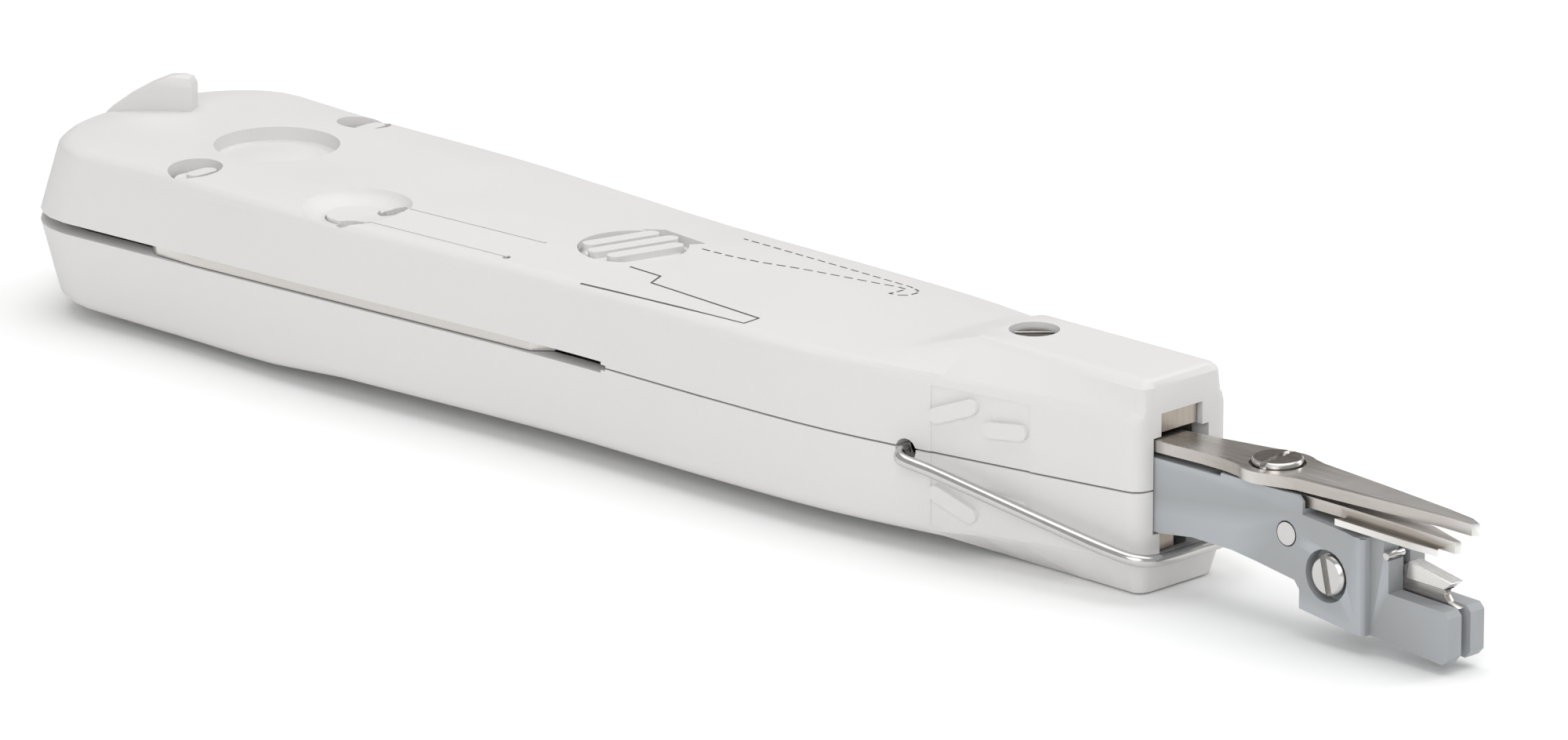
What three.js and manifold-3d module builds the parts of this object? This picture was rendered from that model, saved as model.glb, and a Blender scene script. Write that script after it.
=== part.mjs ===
// A punch down tool for telephone and network terminal blocks.
//
// Millimetres. +X runs forward to the working head, +Z is up out of the printed face of the handle,
// and -Y is the side that the folding blade swings out of. The model is drawn with x = 0 on the
// front face of the handle and z = 0 on the joint between the two shells, and is then shifted as
// one group, so that the origin ends up under the middle of the whole tool, on its lowest face.
import * as THREE from 'three';
import { mergeVertices } from 'three/addons/utils/BufferGeometryUtils.js';
import Module from 'manifold-3d';

const wasm = await Module();
wasm.setup();

// ---------------------------------------------------------------- driving sizes: handle
const HANDLE_LENGTH = 142.2;
const REAR_HALF = 16.5; // half the width of the rear bulge
const GRIP_HALF = 12.4; // half the width of the waist
const FRONT_HALF = 6.2; // half the width of the front face
const TOP_EDGE = 7.4; // height of the top face at its edge, above the shell joint
const TOP_CROWN = 0.45; // how much higher the middle of the top face is
const FRONT_TOP = 10.3; // top of the raised front end
const BOTTOM_EDGE = 8.1; // depth of the flat underside below the shell joint
const REAR_BOTTOM = 8.8; // depth of the rear end
const TAIL_RISE = 0.5; // how far the underside rises again towards the tail
const FRONT_BOTTOM = 10.0; // depth of the raised front end
const EDGE_FILLET = 1.4;
const WALL = 2.0;
const SHELL_GAP = 0.18; // between the two shells
const SIDE_DRAFT = 1.7; // how far the rear sides lean in over their height
const REAR_ROUND = 10.6; // length of the rounded rear end
const CORNER = 1.7; // rounding of the front corners
const FIN_HEIGHT = 3.5;
const FIN_LENGTH = 8.6;
const FIN_THICK = 2.2;
const FIN_TURN = 31; // degrees that the fin stands across the handle
const PAD_REAR = -22.2; // ends of the shallow recess round the nubs
const PAD_FRONT = -11.6;
const PAD_DEPTH = 0.12;
const PAD_TOP = 6.4; // height of the recess above the shell joint, and its depth below it
const PAD_BOTTOM = 7.0;
const NUB_OUT = 0.4; // how far the small nubs stand out of the sides

// ---------------------------------------------------------------- driving sizes: folding tools
const TOOL_THICK = 0.9; // thickness of the folding blade and hook
const SLOT_HEIGHT = 1.1; // slot between the shells that they fold into
const SLOT_FRONT = -62.3; // closed front end of the slot
const TOOL_PIVOT_BACK = 23.6; // pivot of the folding tools, from the rear end
const TOOL_PIVOT_SIDE = 11.1; // and from the middle plane
const TOOL_LENGTH = 48.5; // from the pivot to the tip
const TANG_R = 4.2;
const PIVOT_PIN_R = 1.5;
const PIVOT_HEAD_R = 2.25;
const PIVOT_WELL_R = 2.65;
const PIVOT_HEAD_Z = 5.6; // seat of the pins' heads
const SPINE_HALF = 1.2; // rib on the middle plane that keeps blade and hook apart
const GROOVE_DEPTH = 1.5; // of the slot in front of the hook's tip, where it is blind
const POCKET_REAR_HALF = 5.0; // half the width of the closed part of the rear wall

// ---------------------------------------------------------------- driving sizes: buttons
const BUTTON_X = -69.4;
const BUTTON_Y = -1.0;
const BUTTON_R = 4.95;
const BUTTON_TRAVEL = 1.5;
const RIB_R = 0.8; // half the width of the ribs on the button
const RIB_TURN = -15; // degrees that they stand off the width of the handle
const BOWL_FORWARD = 20.5; // middle of the tongue's bowl, in front of the tool pivots
const BOWL_INSET = 4.8; // and in from the side of the handle
const BOWL_R = 5.5;
const BOWL_DEPTH = 1.2;
const PAD_RISE = 0.35; // how far the end of the tongue stands over the floor of the bowl
const PAD_R = 2.7;
const PIT_R = 1.45; // the two pits beside the tongue
const PIT_SIDE = 2.8;
const TONGUE_LENGTH = 21.7; // from the middle of the bowl to the root
const TONGUE_WIDTH = 4.7;
const TONGUE_THICK = 1.7;
const TONGUE_TRAVEL = 1.3; // how far its bowl can be pressed down
const DISH_R = 6.05;
const DISH_Y = -0.6;
const DISH_DEPTH = 1.2;

// ---------------------------------------------------------------- driving sizes: head and its guide
const HEAD_Y = -0.45; // middle plane of the head
const ARM_HALF = 3.45; // half the thickness of the head's arm
const ARM_TOP = 3.45;
const ARM_BOTTOM = -3.9;
const ARM_TAIL = -26.5; // rear end of the arm, inside the handle
const HEAD_TRAVEL = 5.0;
const BLOCK_REAR = 17.9;
const BLOCK_FRONT = 25.2;
const FORK_TIP = 34.4;
const FORK_HALF = 2.4; // half the thickness over both prongs
const FORK_GAP = 1.2;
const INSERT_THICK = 0.8;
const GUIDE_SHEET = 0.8;
const GUIDE_REAR = -26;
const GUIDE_FRONT = -8; // front end of its cheeks
const GUIDE_BOTTOM = -5.7;
const RIVET_X = 16.0;
const RIVET_Z = -0.5;
const RIVET_R = 1.1;
const SENSOR_R = 0.4;
const SENSOR_Z = -0.3;
const SPRING_STOP_X = -44;
const ROD_R = 1.4;

// ---------------------------------------------------------------- driving sizes: scissors
const BLADE_TOP = 4.7;
const BLADE_THICK = 1.1;
const SCISSOR_X = 12.3;
const SCISSOR_Y = -1.1;
const SCISSOR_HALF = 3.6; // half the width of the blades at their pivot
const SCISSOR_TIP = 37.2;
const UPPER_REAR_HALF = 2.9; // half the width of the upper blade at the front face of the handle
const LOWER_REAR_HALF = 2.15; // near half of the lower blade's width, in its pocket
const SCISSOR_SWING = 6; // degrees that the upper blade turns over the head's travel
const BLADE_TAIL = -12.5; // rear end of the upper blade, inside the handle
const PIVOT_SCREW_R = 2.35;
const CAM_PIN_X = -9;
const CAM_PIN_R = 0.8;

// ---------------------------------------------------------------- driving sizes: wire bail
const WIRE_R = 0.65;
const BAIL_GAP = 1.0; // between the wire and the handle's sides
const BAIL_PIVOT_X = -24.9;
const BAIL_PIVOT_Z = -0.25;
const BAIL_BEND_X = -1.6;
const BAIL_BEND_Z = -5.3;
const BAIL_BAR_X = 1.9;
const BAIL_BAR_Z = -5.9;

// ---------------------------------------------------------------- driving sizes: fasteners
const SCREW_R = 1.1;
const SCREW_HEAD_R = 2.1;
const SCREW_HEAD_H = 1.3;
const FRONT_SCREW_X = -18.7;
const MIDDLE_SCREW_X = -60.6;
const REAR_SCREW_BACK = 11.5; // from the rear end
const SIDE_SCREW_X = 20.8;
const SIDE_SCREW_Z = -3.4;
const NUT_R = 2.0;
const NUT_H = 1.3;
const NUT_TOP = -1.4; // of the nut under the scissors

const RUN_GAP = 0.3; // clearance round a part that moves
const FIT_GAP = 0.1; // clearance round a part that stays put
const REAR = -HANDLE_LENGTH;
const TOOL_PIVOT_X = REAR + TOOL_PIVOT_BACK;
const BOWL_X = TOOL_PIVOT_X + BOWL_FORWARD;
const TONGUE_ROOT_X = BOWL_X + TONGUE_LENGTH;
const REAR_SCREW_X = REAR + REAR_SCREW_BACK;
const rad = THREE.MathUtils.degToRad;

// ---------------------------------------------------------------- solids from three.js geometry
function solid(geometry) {
  const g = geometry.clone();
  g.deleteAttribute('normal');
  g.deleteAttribute('uv');
  const merged = mergeVertices(g, 1e-4);
  return new wasm.Manifold(new wasm.Mesh({
    numProp: 3,
    vertProperties: new Float32Array(merged.attributes.position.array),
    triVerts: new Uint32Array(merged.index.array),
  }));
}

function geometryOf(made) {
  const out = made.getMesh();
  const g = new THREE.BufferGeometry();
  g.setAttribute('position', new THREE.BufferAttribute(new Float32Array(out.vertProperties), 3));
  g.setIndex(new THREE.BufferAttribute(new Uint32Array(out.triVerts), 1));
  g.computeVertexNormals();
  return g;
}

const join = (first, ...rest) => rest.reduce((a, b) => a.add(b), first);
const cut = (first, ...rest) => rest.reduce((a, b) => a.subtract(b), first);

function box(x0, x1, y0, y1, z0, z1) {
  const g = new THREE.BoxGeometry(x1 - x0, y1 - y0, z1 - z0);
  g.translate((x0 + x1) / 2, (y0 + y1) / 2, (z0 + z1) / 2);
  return solid(g);
}

function shapeOf(points) {
  const shape = new THREE.Shape();
  points.forEach(([a, b], i) => (i ? shape.lineTo(a, b) : shape.moveTo(a, b)));
  return shape;
}

// A plate: its outline lies in x and y, and it stands from z0 up to z1.
function plate(points, z0, z1) {
  const g = new THREE.ExtrudeGeometry(shapeOf(points), { depth: z1 - z0, bevelEnabled: false });
  g.translate(0, 0, z0);
  return solid(g);
}

// A side plate: its outline lies in x and z, and it runs from y0 to y1.
function sidePlate(points, y0, y1) {
  const g = new THREE.ExtrudeGeometry(shapeOf(points), { depth: y1 - y0, bevelEnabled: false });
  g.rotateX(Math.PI / 2);
  g.translate(0, y1, 0);
  return solid(g);
}

// A turned piece standing on z, from a profile of [radius, height] that starts and ends on the axis.
function turned(profile, x, y, sides = 24) {
  const g = new THREE.LatheGeometry(profile.map(([r, z]) => new THREE.Vector2(r, z)), sides);
  g.rotateX(Math.PI / 2);
  g.translate(x, y, 0);
  return solid(g);
}

const rod = (r, x, y, z0, z1, sides = 24) => turned([[0, z0], [r, z0], [r, z1], [0, z1]], x, y, sides);

// The same, lying along y or along x.
function crossRod(r, x, z, y0, y1, sides = 24) {
  const g = new THREE.CylinderGeometry(r, r, y1 - y0, sides);
  g.translate(x, (y0 + y1) / 2, z);
  return solid(g);
}

function longRod(r, y, z, x0, x1, sides = 20) {
  const g = new THREE.CylinderGeometry(r, r, x1 - x0, sides);
  g.rotateZ(Math.PI / 2);
  g.translate((x0 + x1) / 2, y, z);
  return solid(g);
}

function roundOutline(cx, cy, r, from, to, steps) {
  return Array.from({ length: steps + 1 }, (_, i) => {
    const a = rad(from + ((to - from) * i) / steps);
    return [cx + r * Math.cos(a), cy + r * Math.sin(a)];
  });
}

function wire(points, r, steps, sides = 8) {
  const path = new THREE.CatmullRomCurve3(points.map((p) => new THREE.Vector3(...p)), false, 'centripetal');
  const section = shapeOf(roundOutline(0, 0, r, 0, 360 - 360 / sides, sides - 1));
  return solid(new THREE.ExtrudeGeometry(section, { steps, extrudePath: path, bevelEnabled: false }));
}

function coil(centre, direction, radius, wireR, length, turns) {
  const [cx, cy, cz] = centre;
  const perTurn = 10;
  const points = Array.from({ length: turns * perTurn + 1 }, (_, i) => {
    const a = (2 * Math.PI * i) / perTurn;
    const along = wireR + ((length - 2 * wireR) * i) / (turns * perTurn);
    const c = radius * Math.cos(a);
    const s = radius * Math.sin(a);
    return direction === 'z' ? [cx + c, cy + s, cz + along] : [cx - along, cy + c, cz + s];
  });
  return wire(points, wireR, turns * perTurn, 6);
}

// ---------------------------------------------------------------- shape of the handle
const smooth = (t) => THREE.MathUtils.smoothstep(t, 0, 1);

const sideLine = new THREE.SplineCurve([
  [-CORNER, FRONT_HALF],
  [-17.3, 9.0],
  [-33.7, GRIP_HALF - 0.8],
  [-0.35 * HANDLE_LENGTH, GRIP_HALF - 0.15],
  [-0.49 * HANDLE_LENGTH, GRIP_HALF + 0.05],
  [-0.675 * HANDLE_LENGTH, 0.56 * GRIP_HALF + 0.44 * REAR_HALF],
  [REAR + 29, REAR_HALF - 1.1],
  [REAR + REAR_ROUND, REAR_HALF],
].map(([x, y]) => new THREE.Vector2(x, y)));

// Half of the handle's outline from the middle of its front face to the middle of its rear end.
function halfOutline() {
  const front = [0, 30, 60].map((a) => [
    -CORNER + CORNER * Math.cos(rad(a)),
    FRONT_HALF - CORNER + CORNER * Math.sin(rad(a)),
  ]);
  const sides = sideLine.getPoints(28).map((p) => [p.x, p.y]);
  const rear = [11, 21, 30, 39, 48, 57, 65, 73, 81].map((a) => [
    REAR + REAR_ROUND - REAR_ROUND * Math.sin(rad(a)) ** 0.92,
    REAR_HALF * Math.cos(rad(a)) ** 0.92,
  ]);
  return [[0, 0], ...front, ...sides, ...rear, [REAR, 0]];
}
const OUTLINE = halfOutline();

// Half-width of the straight part of the sides at x.
function sideHalf(x) {
  const inside = OUTLINE.slice(3, -10);
  if (x >= inside[0][0]) return inside[0][1];
  for (let i = 1; i < inside.length; i += 1) {
    if (x >= inside[i][0]) {
      const [x0, y0] = inside[i - 1];
      const [x1, y1] = inside[i];
      return y0 + ((y1 - y0) * (x - x0)) / (x1 - x0);
    }
  }
  return REAR_HALF;
}

const BOWL_Y = BOWL_INSET - sideHalf(BOWL_X);

// One ring of a shell. level(x) gives its height z and how far it stands in from the side, and
// rear and front say how far it stands in from the two ends.
function ring({ level, rear, front }) {
  const place = ([x, half]) => {
    const { z, inset } = level(x);
    const full = sideHalf(x);
    const toRear = THREE.MathUtils.clamp((REAR + 17 - x) / 17, 0, 1);
    const toFront = THREE.MathUtils.clamp((x + 5) / 5, 0, 1);
    return [x + rear * toRear - front * toFront, (half * (full - inset)) / full, z];
  };
  const near = OUTLINE.map(place).map(([x, y, z]) => [x, -y, z]);
  const far = near.slice(1, -1).reverse().map(([x, y, z]) => [x, -y, z]);
  return [...near, ...far];
}

// A closed body through a stack of rings, from the lowest to the highest.
function stack(specs) {
  const rings = specs.map(ring);
  const count = rings[0].length;
  const positions = rings.flat(2);
  const last = (rings.length - 1) * count;
  const half = OUTLINE.length - 1;
  const index = [];
  for (let r = 0; r + 1 < rings.length; r += 1) {
    for (let i = 0; i < count; i += 1) {
      const a = r * count + i;
      const b = r * count + ((i + 1) % count);
      index.push(a, b + count, b, a, a + count, b + count);
    }
  }
  const pair = (i) => (i === 0 || i === half ? i : count - i);
  for (let i = 0; i < half; i += 1) {
    for (const [base, flip] of [[0, false], [last, true]]) {
      const quad = [base + i, base + i + 1, base + pair(i + 1), base + pair(i)];
      const [a, b, c, d] = flip ? quad.reverse() : quad;
      index.push(...[[a, b, c], [a, c, d]].filter((t) => new Set(t).size === 3).flat());
    }
  }
  const g = new THREE.BufferGeometry();
  g.setAttribute('position', new THREE.BufferAttribute(new Float32Array(positions), 3));
  g.setIndex(index);
  return solid(g);
}

const bumpUp = (x) => smooth((x + 30) / 9); // rise of the top at the front end
const bumpDown = (x) => smooth((x + 20.5) / 4); // and of the underside
const tailRise = (x) => TAIL_RISE * smooth((REAR + 22 - x) / 22);
const rearDrop = (x) => smooth((REAR + 48 - x) / 14);
const draftAt = (x) => SIDE_DRAFT * smooth((REAR + 47 - x) / 30);
const mix = THREE.MathUtils.lerp;

function topLevel(zMid, insetMid, zFront, halfFront, lean) {
  return (x) => ({
    z: mix(zMid, zFront, bumpUp(x)),
    inset: mix(insetMid, Math.max(sideHalf(x) - halfFront(x), 0), bumpUp(x)) + lean * draftAt(x),
  });
}

const shoulder = (inset) => (x) => sideHalf(x) - inset;
const plateau = (half) => () => half;
const arcIn = (a) => EDGE_FILLET * (1 - Math.cos(rad(a)));
const arcUp = (a) => EDGE_FILLET * (Math.sin(rad(a)) - 1);

function topRings() {
  const full = FRONT_TOP;
  return [
    { level: topLevel(SHELL_GAP / 2, 0, SHELL_GAP / 2, shoulder(0), 0), rear: 0, front: 0 },
    { level: topLevel(TOP_EDGE - EDGE_FILLET, 0, full - 4.0, shoulder(0), 1), rear: 1.3, front: 0 },
    { level: topLevel(TOP_EDGE + arcUp(30), arcIn(30), full - 3.4, shoulder(0.15), 1), rear: 1.5, front: 0 },
    { level: topLevel(TOP_EDGE + arcUp(60), arcIn(60), full - 2.9, shoulder(0.5), 1), rear: 2.0, front: 0 },
    { level: topLevel(TOP_EDGE, EDGE_FILLET, full - 0.8, plateau(5.2), 1), rear: 2.9, front: 0.1 },
    { level: topLevel(TOP_EDGE + 0.5 * TOP_CROWN, 4, full - 0.25, plateau(4.6), 0.5), rear: 5, front: 0.4 },
    { level: topLevel(TOP_EDGE + TOP_CROWN, 7.5, full, plateau(3.8), 0.3), rear: 8, front: 1.0 },
  ];
}

function bottomLevel(depthMid, insetMid, depthFront, halfFront, lean) {
  return (x) => ({
    z: lean * tailRise(x) - mix(depthMid + (REAR_BOTTOM - BOTTOM_EDGE) * rearDrop(x) * lean, depthFront,
      bumpDown(x)),
    inset: mix(insetMid, Math.max(sideHalf(x) - halfFront(x), 0), bumpDown(x)) + lean * draftAt(x),
  });
}

function bottomRings() {
  const deep = FRONT_BOTTOM;
  const fillet = (a, depthFront, halfFront, front) => ({
    level: bottomLevel(BOTTOM_EDGE + arcUp(a), arcIn(a), depthFront, halfFront, 1),
    rear: 1.3 + arcIn(a),
    front,
  });
  return [
    fillet(90, deep, plateau(4.3), 1.3),
    fillet(60, deep - 0.2, plateau(4.9), 0.7),
    fillet(30, deep - 2.9, shoulder(0.4), 0.1),
    fillet(0, deep - 3.5, shoulder(0), 0),
    { level: bottomLevel(SHELL_GAP / 2, 0, SHELL_GAP / 2, shoulder(0), 0), rear: 0, front: 0 },
  ];
}

const topOuter = stack(topRings());
const bottomOuter = stack(bottomRings());

// The hollow inside a shell: the same outline, one wall further in.
function hollow(sign, depthMid, depthFront) {
  const bump = sign > 0 ? bumpUp : bumpDown;
  const level = (z, zFront, inset, lean) => ({
    level: (x) => ({ z: sign * mix(z, zFront, bump(x)), inset: WALL + inset + lean * draftAt(x) }),
    rear: WALL + 0.8 * lean,
    front: WALL,
  });
  const rings = [
    level(-1, -1, 0, 0),
    level(depthMid - 1.5, depthFront - 2.6, 0, 1),
    level(depthMid, depthFront, 1.2, 1),
  ];
  return stack(sign > 0 ? rings : rings.reverse());
}

const ROOF = TOP_EDGE - WALL; // inside of the top face
const FLOOR = -(BOTTOM_EDGE - WALL); // inside of the underside
const FRONT_ROOF = FRONT_TOP - WALL - 0.3;
const FRONT_FLOOR = -(FRONT_BOTTOM - WALL);
const UPPER_SCREW_SEAT = FRONT_TOP - 1.65;
const BUTTON_SOCKET_TOP = ROOF - 0.95; // roof of the socket that takes the button's spring
const SPINE_FRONT = BUTTON_X - BUTTON_R - 2.2; // front end of the rib, just behind the ribbed button

// ---------------------------------------------------------------- openings that both shells share
const sides = [-1, 1];

// Slot for the folding tools: open along each side and round the rear corners.
function toolSlot() {
  const half = SLOT_HEIGHT / 2;
  return sides.map((s) => {
    const reach = TOOL_PIVOT_X + TOOL_LENGTH + 2 * RUN_GAP;
    const part = (x0, x1, inside, height) => {
      const [y0, y1] = [s * inside, s * (REAR_HALF + 1)].sort((a, b) => a - b);
      return box(x0, x1, y0, y1, -height, height);
    };
    const blind = sideHalf(SLOT_FRONT) - GROOVE_DEPTH;
    const front = s < 0 ? blind - WALL : blind; // on the blade's side it opens into the hollow handle
    return join(
      part(REAR + WALL + 1, reach, SPINE_HALF + 0.4, half),
      part(REAR - 1, REAR + WALL + 2, POCKET_REAR_HALF, half),
      part(reach - 1, SLOT_FRONT, front, half),
      part(SLOT_FRONT - 1, SLOT_FRONT + 0.6, blind, half / 2),
    );
  });
}

// Opening in the front face for the head and its scissors.
function frontOpening() {
  const [y0, y1] = [HEAD_Y - ARM_HALF - 0.2, HEAD_Y + ARM_HALF + 0.15];
  const depth = GUIDE_FRONT - 1;
  const blades = UPPER_REAR_HALF + FIT_GAP;
  const frame = ARM_HALF + RUN_GAP + GUIDE_SHEET + FIT_GAP;
  return [
    box(depth, 3, -3.1, 2.3, 0, 7.0),
    box(depth, 3, y0, y1, ARM_BOTTOM - 0.3, BLADE_TOP + 0.15),
    box(depth, 3, SCISSOR_Y - blades, SCISSOR_Y + blades, BLADE_TOP - BLADE_THICK - 0.3, BLADE_TOP + 0.15),
    box(depth, 3, -3.2, 2.4, -6.7, 0),
    box(GUIDE_REAR - FIT_GAP, GUIDE_FRONT + FIT_GAP, HEAD_Y - frame, HEAD_Y + frame,
      GUIDE_BOTTOM - FIT_GAP, BLADE_TOP + 0.3 + GUIDE_SHEET + FIT_GAP),
  ];
}

const bailHole = () => crossRod(WIRE_R + 0.45, BAIL_PIVOT_X, BAIL_PIVOT_Z, -13, 13, 16);

// ---------------------------------------------------------------- small raised nubs on the sides
// A round-ended bar from one point to another, in x and z, that stands out of the side of the handle.
function nub([x0, z0], [x1, z1], side) {
  const r = 0.75;
  const turn = Math.atan2(z1 - z0, x1 - x0);
  const a = THREE.MathUtils.radToDeg(turn);
  const outline = [
    ...roundOutline(x1, z1, r, a - 90, a + 90, 6),
    ...roundOutline(x0, z0, r, a + 90, a + 270, 6),
  ];
  const y = [-1.2 * side, NUB_OUT * side].sort((p, q) => p - q);
  return followSide(sidePlate(outline, y[0], y[1]), side);
}

// Moves a thin piece that was drawn round y = 0 out to the side of the handle, and along its curve.
function followSide(piece, side) {
  return piece.warp((at) => {
    at[1] += side * sideHalf(at[0]);
  });
}

// The shallow recess that the nubs stand in.
function sidePad(side) {
  const steps = 6;
  const slices = Array.from({ length: steps }, (_, i) => {
    const [x0, x1] = [i, i + 1].map((k) => mix(PAD_REAR, PAD_FRONT, k / steps));
    const [y0, y1] = [-PAD_DEPTH * side, side].sort((p, q) => p - q);
    return followSide(box(x0, x1, y0, y1, -PAD_BOTTOM, PAD_TOP), side);
  });
  return join(...slices);
}

const REAR_NUB = [[-21.4, 3.7], [-17.8, 5.1]];
const FRONT_NUB = [[-15.6, 3.35], [-12.5, 3.65]];

function nubs(sign) {
  return sides.flatMap((side) => [REAR_NUB, FRONT_NUB].map(([a, b]) =>
    nub([a[0], sign * a[1]], [b[0], sign * b[1]], side)));
}

// ---------------------------------------------------------------- release tongue outline
const BOWL_FLOOR = TOP_EDGE + TOP_CROWN / 2 - BOWL_DEPTH;
const TONGUE_LEAN = 1.2; // the slits lean this far over the tongue's length
const TONGUE_GAP = 0.15;
const ROOT_LINE = 0.02; // the tongue all but grows out of the shell at its root

function tongueOutline(grow, root) {
  const half = TONGUE_WIDTH / 2 + grow;
  const r = PAD_R + grow;
  const start = THREE.MathUtils.radToDeg(Math.asin(half / r));
  return [
    [TONGUE_ROOT_X + root, BOWL_Y + TONGUE_LEAN - half],
    [TONGUE_ROOT_X + root, BOWL_Y + TONGUE_LEAN + half],
    ...roundOutline(BOWL_X, BOWL_Y, r, start, 360 - start, 20),
  ];
}

// The hollow of the bowl: an almost flat floor that turns up to a steep rim.
function bowlHollow(floor) {
  const rise = [[0, 0], [0.45, 0.06], [0.7, 0.25], [0.86, 0.55], [0.96, 0.9], [1, 1.25]];
  const profile = rise.map(([r, z]) => [r * BOWL_R, floor + z * BOWL_DEPTH]);
  return turned([...profile, [BOWL_R + 0.1, TOP_EDGE + 3], [0, TOP_EDGE + 3]], BOWL_X, BOWL_Y, 48);
}

const pits = () => sides.map((side) =>
  rod(PIT_R, BOWL_X + 2.2, BOWL_Y + side * PIT_SIDE, BOWL_FLOOR - 1.2, TOP_EDGE + 1, 20));

// ---------------------------------------------------------------- top shell
// A thin wedge that stands across the rear end: it rises from nothing to a steep, rounded front.
function fin() {
  const base = TOP_EDGE - 1.5;
  const top = TOP_EDGE + TOP_CROWN + FIN_HEIGHT;
  const half = FIN_THICK / 2;
  const crest = [
    [0, base],
    [FIN_LENGTH, base],
    [FIN_LENGTH, top - 1.0],
    [FIN_LENGTH - 0.3, top - 0.3],
    [FIN_LENGTH - 1.0, top],
    [FIN_LENGTH - 2.3, top - 0.2],
    [FIN_LENGTH - 4.4, top - 1.2],
    [FIN_LENGTH - 6.6, top - 2.5],
    [0, top - 4.0],
  ];
  const section = [
    [-half, base],
    [half, base],
    [half, top - 1.2],
    [half - 0.3, top - 0.4],
    [half - 0.8, top],
    [0.8 - half, top],
    [0.3 - half, top - 0.4],
    [-half, top - 1.2],
  ];
  const wedge = sidePlate(crest, -half, half).intersect(sidePlate(section, -FIN_LENGTH - 1, 1).rotate([0, 0, 90]));
  return wedge.rotate([0, 0, FIN_TURN]).translate([REAR + 1.7, -2.1, 0]);
}

function ribbedRecess() {
  const x = BUTTON_X;
  const y = BUTTON_Y;
  const ramp = plate([[x - 3.4, y + 4.6], [x - 1.8, y + 6.0], [x + 4.2, y + 5.4], [x + 3, y + 3.6]],
    TOP_EDGE - 0.5, TOP_EDGE + 2);
  return join(rod(BUTTON_R + RUN_GAP, x, y, ROOF - 1, TOP_EDGE + 2, 36), ramp);
}

function topShell() {
  const x = TOOL_PIVOT_X;
  const tall = TOP_EDGE + 2;
  let shell = cut(topOuter, hollow(1, ROOF, FRONT_ROOF));
  const frontBoss = rod(PIVOT_SCREW_R + 1.5, FRONT_SCREW_X, 0, GUIDE_TOP + FIT_GAP, FRONT_ROOF + 0.5);
  const bosses = sides.map((s) => rod(TANG_R, x, s * TOOL_PIVOT_SIDE, SLOT_HEIGHT / 2 + 0.1, ROOF + 0.5));
  const posts = [REAR_SCREW_X, MIDDLE_SCREW_X].map((px) => rod(3, px, 0, SHELL_GAP / 2, ROOF + 0.5));
  const spine = box(REAR + 1, SPINE_FRONT, -SPINE_HALF, SPINE_HALF, SHELL_GAP / 2, ROOF + 0.3);
  const inside = join(frontBoss, ...bosses, ...posts, spine).intersect(topOuter);
  shell = join(cut(shell, ...sides.map(sidePad)), inside, fin(), ...nubs(1));
  const dishFloor = TOP_EDGE + TOP_CROWN - DISH_DEPTH;
  const dish = turned([[0, dishFloor + 0.45], [2.5, dishFloor + 0.35], [4.6, dishFloor + 0.05],
    [DISH_R - 0.5, dishFloor - 0.25], [DISH_R, dishFloor - 0.1], [DISH_R + 0.1, tall], [0, tall]],
  x + 0.2, DISH_Y, 40);
  const wellFloor = PIVOT_HEAD_Z - FIT_GAP;
  const wells = sides.map((s) => turned([[0, 0], [PIVOT_PIN_R + FIT_GAP, 0], [PIVOT_PIN_R + FIT_GAP, wellFloor],
    [PIVOT_WELL_R, wellFloor], [PIVOT_WELL_R, tall], [0, tall]], x, s * TOOL_PIVOT_SIDE, 28));
  const blind = [REAR_SCREW_X, MIDDLE_SCREW_X].map((px) => rod(SCREW_R, px, 0, -1, 4.2, 16));
  const screwWell = join(
    rod(PIVOT_SCREW_R, FRONT_SCREW_X, 0, UPPER_SCREW_SEAT - FIT_GAP, FRONT_TOP + 1),
    rod(SCREW_R + FIT_GAP, FRONT_SCREW_X, 0, GUIDE_TOP - 1, FRONT_TOP, 16),
  );
  const rootY = BOWL_Y + TONGUE_LEAN;
  const slitEnd = TONGUE_WIDTH / 2 + TONGUE_GAP;
  const tongue = join(
    plate(tongueOutline(TONGUE_GAP, ROOT_LINE), ROOF - 2, tall),
    box(TONGUE_ROOT_X - 1, TONGUE_ROOT_X + RUN_GAP, rootY - slitEnd, rootY + slitEnd, ROOF - 2, TOP_EDGE - 0.05),
    rod(0.4, TONGUE_ROOT_X + 0.2, rootY - slitEnd, ROOF - 2, tall, 14),
    rod(0.2, TONGUE_ROOT_X + 0.2, rootY + slitEnd, ROOF - 2, tall, 10),
  );
  return cut(shell, dish, ...wells, ...blind, screwWell, tongue, bowlHollow(BOWL_FLOOR), ...pits(), ribbedRecess(),
    ...toolSlot(), ...frontOpening(), bailHole());
}

// ---------------------------------------------------------------- bottom shell
function screwWell(x, y) {
  return join(
    rod(SCREW_HEAD_R + 0.2, x, y, -FRONT_BOTTOM - 1, FLOOR - 0.4),
    rod(SCREW_R + FIT_GAP, x, y, -FRONT_BOTTOM, 2, 16),
  );
}

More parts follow.
